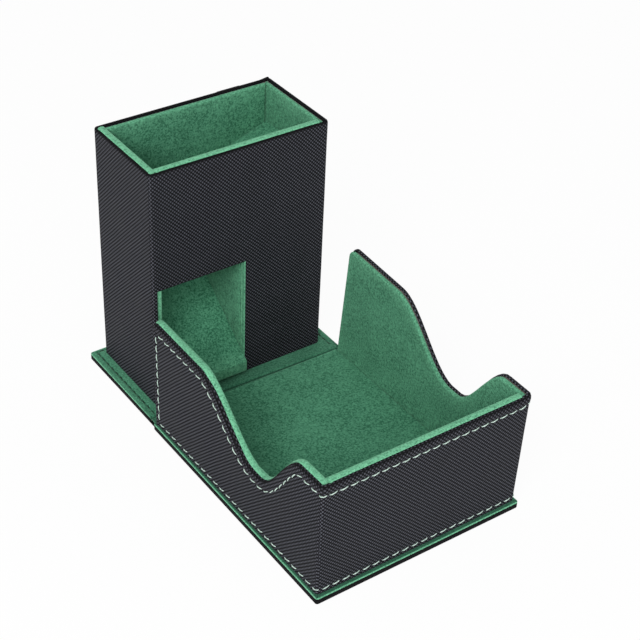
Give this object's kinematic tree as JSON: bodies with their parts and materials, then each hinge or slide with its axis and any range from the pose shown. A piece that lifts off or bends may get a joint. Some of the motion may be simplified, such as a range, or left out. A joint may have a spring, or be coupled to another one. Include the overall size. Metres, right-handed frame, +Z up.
{
  "type": "folding dice tower",
  "caption": "Open-topped leatherette chute with a sloping baffle and exit ramp inside, on a base panel that hinges to a shallow tray with swept side walls.",
  "frame": {"origin": "on the table, below the middle of the tower's front face", "axes": "+X along the tower's width towards the closed side of its front, +Y from the tray to the back of the tower, +Z up"},
  "size_m": [0.1134, 0.1987, 0.13],
  "materials": {
    "leatherette": "cross-grain, satin",
    "suede": "short nap, matt",
    "greyboard": "raw board, matt",
    "pale_thread": "twisted thread",
    "green_thread": "twisted thread",
    "steel": "plated disc"
  },
  "bodies": {
    "tower": {"rear_base_cover": "leatherette", "hinge_cover_strip": "leatherette", "tower_cover": "leatherette", "rear_base_lining": "suede", "hinge_lining_strip": "suede", "tower_left_lining": "suede", "tower_right_lining": "suede", "tower_back_lining": "suede", "tower_front_lining": "suede", "baffle_lining": "suede", "partition_lining": "suede", "ramp_lining": "suede", "rear_base_board": "greyboard", "tower_left_board": "greyboard", "tower_right_board": "greyboard", "tower_back_board": "greyboard", "tower_front_board": "greyboard", "baffle_board": "greyboard", "partition_board": "greyboard", "ramp_board": "greyboard", "rear_border_thread": "green_thread", "keeper_disc_left": "steel", "keeper_disc_right": "steel"},
    "tray": {"front_base_cover": "leatherette", "tray_cover": "leatherette", "front_base_lining": "suede", "tray_left_lining": "suede", "tray_right_lining": "suede", "tray_front_lining": "suede", "tray_floor_lining": "suede", "front_base_board": "greyboard", "tray_left_board": "greyboard", "tray_right_board": "greyboard", "tray_front_board": "greyboard", "tray_floor_board": "greyboard", "tray_rim_thread": "pale_thread", "tray_foot_thread": "pale_thread", "tray_left_end_thread": "pale_thread", "tray_right_end_thread": "pale_thread", "tray_magnet_left": "steel", "tray_magnet_right": "steel"}
  },
  "joints": [
    {"name": "tray_fold", "type": "hinge", "parent": "tower", "child": "tray", "pos_m": [0, -0.0084, 0.0013], "axis": [-1, 0, 0], "range_deg": [0, 90], "deforming": ["hinge_cover_strip", "hinge_lining_strip"]}
  ]
}
